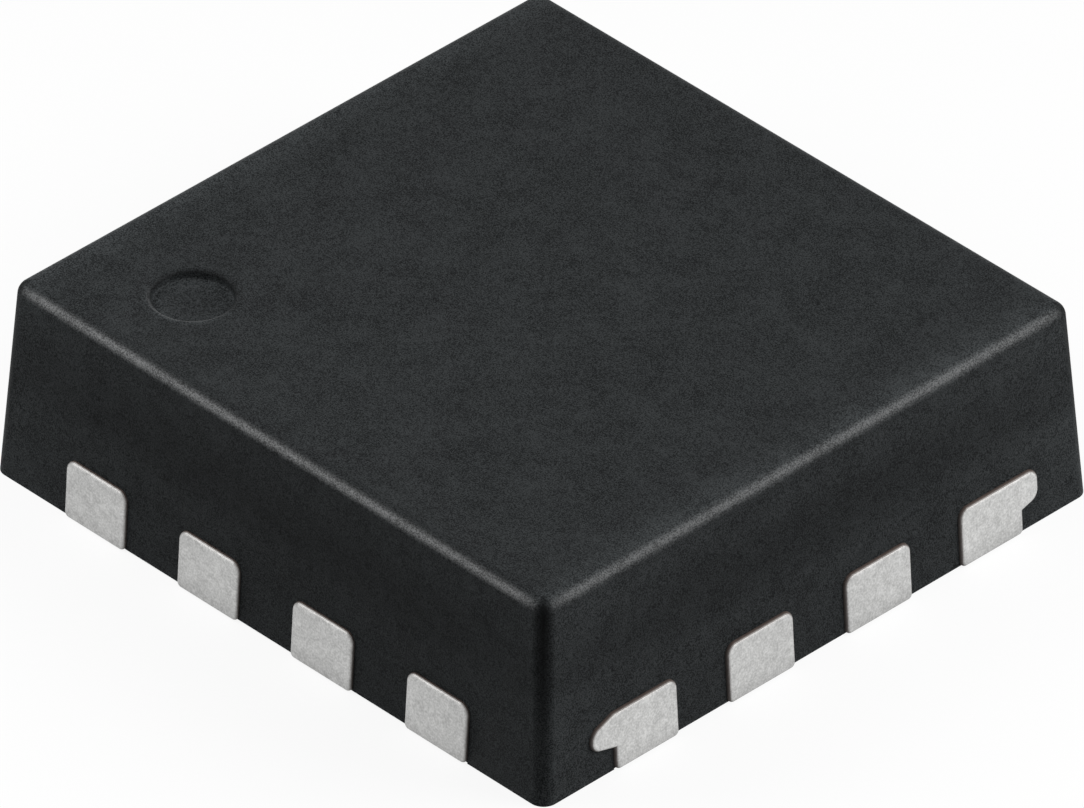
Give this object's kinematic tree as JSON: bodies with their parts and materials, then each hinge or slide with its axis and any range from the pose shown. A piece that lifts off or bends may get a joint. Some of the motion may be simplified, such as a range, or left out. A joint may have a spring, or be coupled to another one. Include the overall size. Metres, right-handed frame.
{
  "type": "eeprom chip",
  "caption": "Flat square no-lead memory chip with a black moulded body, tin-plated leads flush in its sides, a bare die pad beneath and a wired die inside.",
  "frame": {"origin": "centre of the seating plane, where the lands and the die pad meet the board", "axes": "+Z out of the board towards the flat top; the side with leads 1 to 4 faces -Y and lead 1 is at its -X end"},
  "size_m": [0.0032, 0.003, 0.0009],
  "materials": {
    "mould_compound": "matt black moulding compound with fine grain",
    "tin_plate": "matt tin plate on copper alloy",
    "silver_epoxy": "silver-filled die adhesive",
    "silicon": "polished silicon",
    "gold_wire": "bright drawn gold"
  },
  "bodies": {
    "root": {"mould_body": "mould_compound", "die_pad": "tin_plate", "lead_1": "tin_plate", "lead_2": "tin_plate", "lead_3": "tin_plate", "lead_4": "tin_plate", "lead_6": "tin_plate", "lead_7": "tin_plate", "lead_9": "tin_plate", "lead_10": "tin_plate", "lead_11": "tin_plate", "lead_12": "tin_plate", "lead_14": "tin_plate", "lead_15": "tin_plate", "die_adhesive": "silver_epoxy", "die": "silicon", "bond_wire_1": "gold_wire", "bond_wire_2": "gold_wire", "bond_wire_3": "gold_wire", "bond_wire_4": "gold_wire", "bond_wire_6": "gold_wire", "bond_wire_7": "gold_wire", "bond_wire_9": "gold_wire", "bond_wire_10": "gold_wire", "bond_wire_11": "gold_wire", "bond_wire_12": "gold_wire", "bond_wire_14": "gold_wire", "bond_wire_15": "gold_wire", "ground_wire": "gold_wire"}
  },
  "joints": []
}
